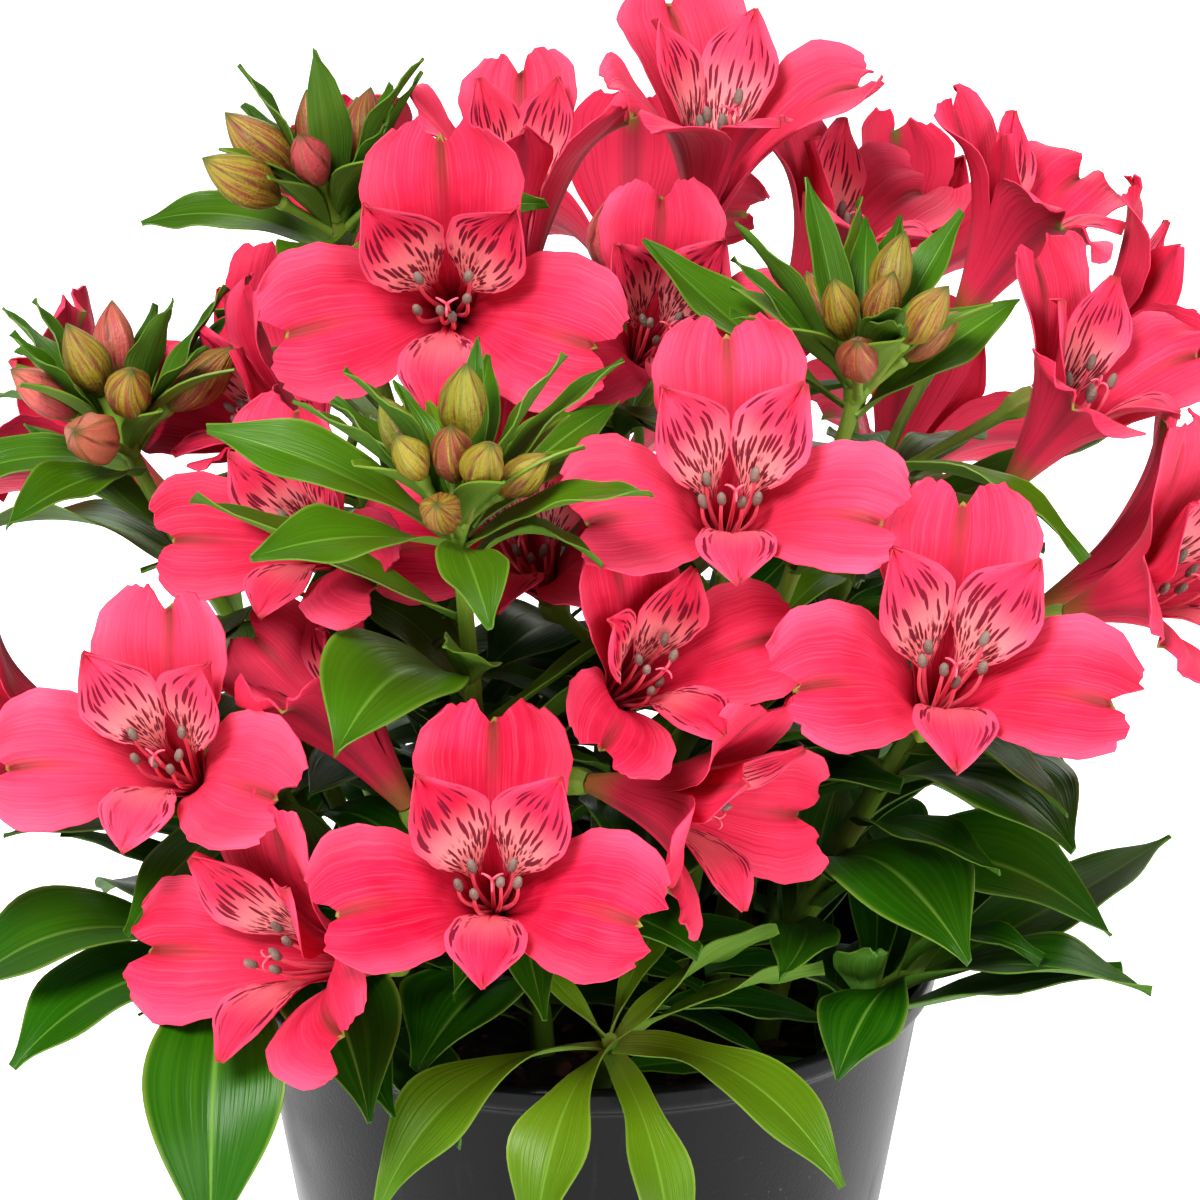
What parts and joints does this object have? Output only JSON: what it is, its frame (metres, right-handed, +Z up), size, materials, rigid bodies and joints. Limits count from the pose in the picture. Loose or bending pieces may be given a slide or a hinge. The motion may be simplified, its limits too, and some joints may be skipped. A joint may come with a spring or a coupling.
{
  "type": "potted peruvian lily",
  "caption": "Peruvian lily plant in a round dark plastic nursery pot, with leafy upright shoots that carry umbels of open coral-pink blooms and tight heads of buds.",
  "frame": {"origin": "middle of the pot's foot, on the surface it stands on", "axes": "+Z up, -Y towards the front of the plant, +X to the right as seen from the front"},
  "size_m": [0.2514, 0.2488, 0.2992],
  "materials": {
    "plastic": "satin moulded",
    "peat": "rough, damp",
    "petal": "soft, slightly silky",
    "bud": "satin",
    "green": "satin"
  },
  "bodies": {
    "root": {"pot": "plastic", "peat": "peat", "bloom_01": "petal", "bloom_02": "petal", "bloom_03": "petal", "bloom_04": "petal", "bloom_05": "petal", "bloom_06": "petal", "bloom_07": "petal", "bloom_08": "petal", "bloom_09": "petal", "bloom_10": "petal", "bloom_11": "petal", "bloom_12": "petal", "bloom_13": "petal", "bloom_14": "petal", "bloom_15": "petal", "bloom_16": "petal", "bloom_17": "petal", "bloom_18": "petal", "bloom_19": "petal", "bloom_20": "petal", "bloom_21": "petal", "bloom_22": "petal", "bloom_23": "petal", "bloom_24": "petal", "bloom_25": "petal", "bloom_26": "petal", "bloom_27": "petal", "bloom_28": "petal", "bloom_29": "petal", "bud_1": "bud", "bud_2": "bud", "buds_young_front": "bud", "buds_young_left": "bud", "buds_young_top_left": "bud", "buds_young_right": "bud", "shoot_young_front": "green", "shoot_young_left": "green", "shoot_young_top_left": "green", "shoot_young_right": "green", "shoot_front": "green", "shoot_low_front": "green", "shoot_low_left": "green", "shoot_low_right": "green", "shoot_centre": "green", "shoot_upper_left": "green", "shoot_left": "green", "shoot_top": "green", "shoot_upper_right": "green", "shoot_right": "green", "shoot_back_left": "green", "shoot_back": "green", "shoot_back_right": "green", "shoot_low_back_left": "green", "shoot_low_back_right": "green"}
  },
  "joints": []
}
